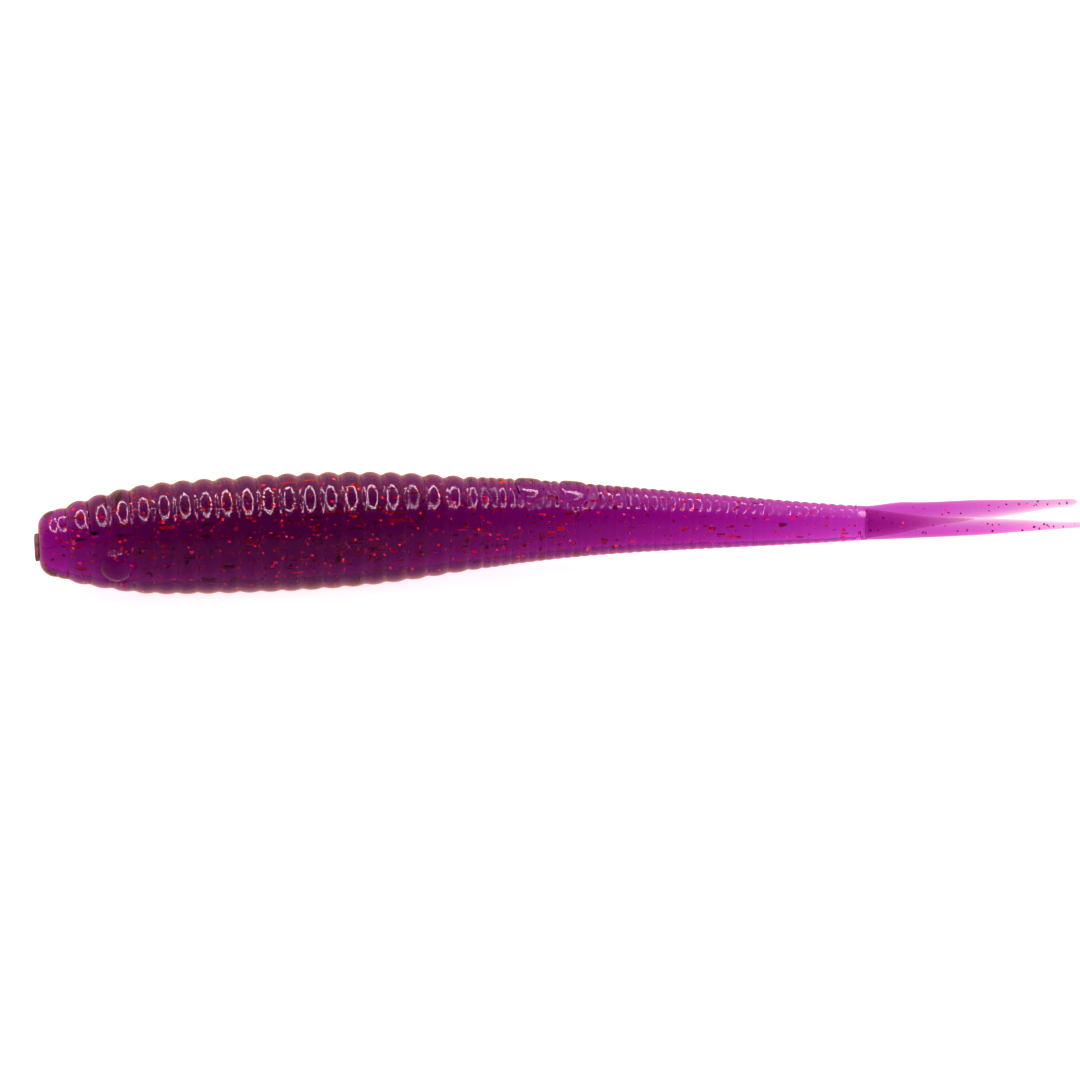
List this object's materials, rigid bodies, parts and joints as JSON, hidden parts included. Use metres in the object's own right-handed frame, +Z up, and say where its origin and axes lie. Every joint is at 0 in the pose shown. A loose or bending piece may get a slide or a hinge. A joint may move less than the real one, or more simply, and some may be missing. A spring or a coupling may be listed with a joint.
{
  "type": "soft plastic worm",
  "caption": "Ribbed soft bait: a fat round body with domed eyes tapers to a finely ribbed stem and a forked tail, which bend up, down and sideways.",
  "frame": {"origin": "on the ground plane, under the middle of the length", "axes": "+X from the nose towards the tail, +Z up with the back upwards"},
  "size_m": [0.102, 0.0114, 0.0109],
  "materials": {
    "violet_gel": "glossy translucent gel",
    "thin_gel": "glossy translucent gel, paler where it is thin",
    "cut_gel": "rough cut gel",
    "red_flake": "metallised glitter",
    "pink_flake": "metallised glitter"
  },
  "bodies": {
    "head": {"head_section": "violet_gel", "nose_cap": "violet_gel", "gate_stub": "cut_gel", "eye_left": "violet_gel", "eye_right": "violet_gel"},
    "trunk_1": {"body_section_1": "violet_gel"},
    "trunk_2": {"body_section_2": "violet_gel"},
    "trunk_3": {"body_section_3": "violet_gel"},
    "trunk_4": {"body_section_4": "violet_gel"},
    "trunk_5": {"body_section_5": "violet_gel", "shoulder_rib": "violet_gel"},
    "stem_1": {"stem_section_1": "violet_gel", "back_boss_front": "violet_gel"},
    "stem_2": {"stem_section_2": "violet_gel", "back_boss_rear": "violet_gel"},
    "stem_3": {"stem_section_3": "violet_gel"},
    "stem_4": {"stem_section_4": "violet_gel"},
    "stem_5": {"stem_section_5": "violet_gel"},
    "stem_6": {"stem_section_6": "violet_gel"},
    "fork": {"fork_root": "violet_gel"},
    "left_root": {"left_tine_root": "thin_gel"},
    "left_middle": {"left_tine_middle": "thin_gel"},
    "left_tip": {"left_tine_tip": "thin_gel"},
    "right_root": {"right_tine_root": "thin_gel"},
    "right_middle": {"right_tine_middle": "thin_gel"},
    "right_tip": {"right_tine_tip": "thin_gel"}
  },
  "joints": [
    {"name": "body_sway", "type": "hinge", "parent": "head", "child": "trunk_1", "pos_m": [-0.03957, 0, 0.00525], "axis": [0, 0, 1], "range_deg": [-7, 7], "stiffness_Nm_per_rad": 0.0135},
    {"name": "body_arch", "type": "hinge", "parent": "trunk_1", "child": "trunk_2", "pos_m": [-0.03351, 0, 0.00525], "axis": [0, -1, 0], "range_deg": [-7, 7], "stiffness_Nm_per_rad": 0.016},
    {"name": "body_sway_2", "type": "hinge", "parent": "trunk_2", "child": "trunk_3", "pos_m": [-0.02745, 0, 0.00525], "axis": [0, 0, 1], "range_deg": [-7, 7], "stiffness_Nm_per_rad": 0.0165},
    {"name": "body_arch_2", "type": "hinge", "parent": "trunk_3", "child": "trunk_4", "pos_m": [-0.02139, 0, 0.00525], "axis": [0, -1, 0], "range_deg": [-7, 7], "stiffness_Nm_per_rad": 0.0155},
    {"name": "body_sway_3", "type": "hinge", "parent": "trunk_4", "child": "trunk_5", "pos_m": [-0.01533, 0, 0.00525], "axis": [0, 0, 1], "range_deg": [-7, 7], "stiffness_Nm_per_rad": 0.0115},
    {"name": "body_arch_3", "type": "hinge", "parent": "trunk_5", "child": "stem_1", "pos_m": [-0.00792, 0, 0.00525], "axis": [0, -1, 0], "range_deg": [-7, 7], "stiffness_Nm_per_rad": 0.0075},
    {"name": "stem_sway", "type": "hinge", "parent": "stem_1", "child": "stem_2", "pos_m": [-0.00094, 0, 0.00516], "axis": [0, 0, 1], "range_deg": [-12, 12], "stiffness_Nm_per_rad": 0.0045},
    {"name": "stem_curl", "type": "hinge", "parent": "stem_2", "child": "stem_3", "pos_m": [0.00429, 0, 0.00492], "axis": [0, -1, 0], "range_deg": [-12, 12], "stiffness_Nm_per_rad": 0.0027},
    {"name": "stem_sway_2", "type": "hinge", "parent": "stem_3", "child": "stem_4", "pos_m": [0.01039, 0, 0.00451], "axis": [0, 0, 1], "range_deg": [-12, 12], "stiffness_Nm_per_rad": 0.0015},
    {"name": "stem_curl_2", "type": "hinge", "parent": "stem_4", "child": "stem_5", "pos_m": [0.0165, 0, 0.00404], "axis": [0, -1, 0], "range_deg": [-12, 12], "stiffness_Nm_per_rad": 0.0009},
    {"name": "stem_sway_3", "type": "hinge", "parent": "stem_5", "child": "stem_6", "pos_m": [0.0226, 0, 0.00358], "axis": [0, 0, 1], "range_deg": [-12, 12], "stiffness_Nm_per_rad": 0.00045},
    {"name": "stem_curl_3", "type": "hinge", "parent": "stem_6", "child": "fork", "pos_m": [0.0287, 0, 0.0032], "axis": [0, -1, 0], "range_deg": [-12, 12], "stiffness_Nm_per_rad": 0.00012},
    {"name": "left_tine_flap", "type": "hinge", "parent": "fork", "child": "left_root", "pos_m": [0.0312, 0.0011, 0.00309], "axis": [0, -1, 0], "range_deg": [-20, 20], "stiffness_Nm_per_rad": 0.00005},
    {"name": "left_tine_flap_2", "type": "hinge", "parent": "left_root", "child": "left_middle", "pos_m": [0.0376, 0.00183, 0.00297], "axis": [0, -1, 0], "range_deg": [-20, 20], "stiffness_Nm_per_rad": 0.00002},
    {"name": "left_tine_flap_3", "type": "hinge", "parent": "left_middle", "child": "left_tip", "pos_m": [0.0442, 0.00207, 0.00297], "axis": [0, -1, 0], "range_deg": [-20, 20], "stiffness_Nm_per_rad": 0.000005},
    {"name": "right_tine_flap", "type": "hinge", "parent": "fork", "child": "right_root", "pos_m": [0.0312, -0.0011, 0.00309], "axis": [0, -1, 0], "range_deg": [-20, 20], "stiffness_Nm_per_rad": 0.00005},
    {"name": "right_tine_flap_2", "type": "hinge", "parent": "right_root", "child": "right_middle", "pos_m": [0.0376, -0.00183, 0.00297], "axis": [0, -1, 0], "range_deg": [-20, 20], "stiffness_Nm_per_rad": 0.00002},
    {"name": "right_tine_flap_3", "type": "hinge", "parent": "right_middle", "child": "right_tip", "pos_m": [0.0442, -0.00207, 0.00297], "axis": [0, -1, 0], "range_deg": [-20, 20], "stiffness_Nm_per_rad": 0.000005}
  ],
  "couplings": [
    {"joint": "body_sway_2", "follows": "body_sway", "ratio": 1},
    {"joint": "body_arch_2", "follows": "body_arch", "ratio": 1},
    {"joint": "body_sway_3", "follows": "body_sway", "ratio": 1},
    {"joint": "body_arch_3", "follows": "body_arch", "ratio": 1},
    {"joint": "stem_sway_2", "follows": "stem_sway", "ratio": 1},
    {"joint": "stem_curl_2", "follows": "stem_curl", "ratio": 1},
    {"joint": "stem_sway_3", "follows": "stem_sway", "ratio": 1},
    {"joint": "stem_curl_3", "follows": "stem_curl", "ratio": 1},
    {"joint": "left_tine_flap_2", "follows": "left_tine_flap", "ratio": 1},
    {"joint": "left_tine_flap_3", "follows": "left_tine_flap", "ratio": 1},
    {"joint": "right_tine_flap_2", "follows": "right_tine_flap", "ratio": 1},
    {"joint": "right_tine_flap_3", "follows": "right_tine_flap", "ratio": 1}
  ]
}
